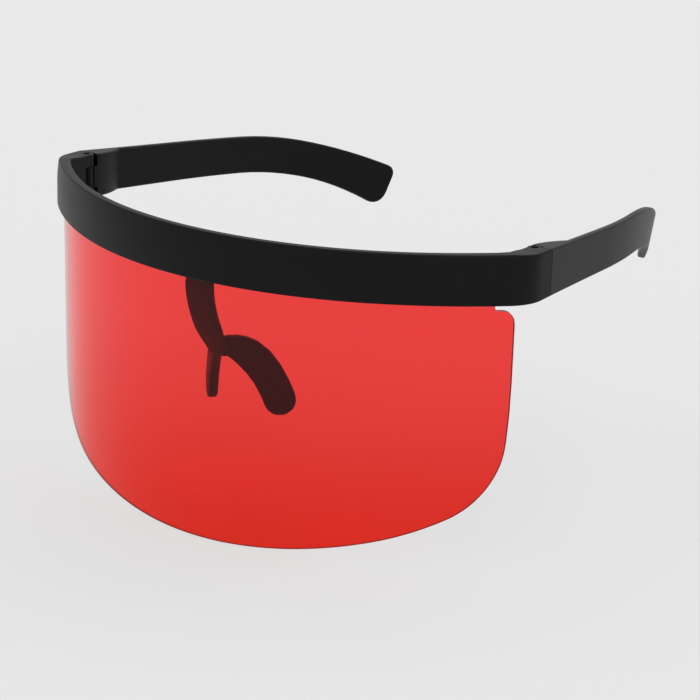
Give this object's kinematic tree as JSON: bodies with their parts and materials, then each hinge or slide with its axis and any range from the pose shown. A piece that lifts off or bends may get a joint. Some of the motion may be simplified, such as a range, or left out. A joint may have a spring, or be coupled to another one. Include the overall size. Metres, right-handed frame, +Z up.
{
  "type": "shield sunglasses",
  "caption": "Oversized flat-top shield sunglasses: one red see-through lens under a curved black brow bar, with a nose bridge and folding temples.",
  "frame": {"origin": "middle of the brow bar's flat top face, at half the bar's thickness", "axes": "+Z up out of the bar's top face, -Y forward as the wearer looks, +X to the wearer's left"},
  "size_m": [0.1692, 0.1696, 0.0902],
  "materials": {
    "frame_black": "fine satin moulded black",
    "lens_red": "polished see-through red tint",
    "screw_steel": "blackened steel screws"
  },
  "bodies": {
    "front": {"brow_bar": "frame_black", "shield_lens": "lens_red", "nose_bridge": "frame_black", "bridge_screw_left": "screw_steel", "bridge_screw_right": "screw_steel", "hinge_screw_left": "screw_steel", "hinge_screw_right": "screw_steel"},
    "temple_left": {"temple_left": "frame_black"},
    "temple_right": {"temple_right": "frame_black"}
  },
  "joints": [
    {"name": "left_hinge", "type": "hinge", "parent": "front", "child": "temple_left", "pos_m": [0.07987, 0.04609, -0.00715], "axis": [0, 0, 1], "range_deg": [0, 84]},
    {"name": "right_hinge", "type": "hinge", "parent": "front", "child": "temple_right", "pos_m": [-0.07987, 0.04609, -0.00715], "axis": [0, 0, -1], "range_deg": [0, 70]}
  ]
}
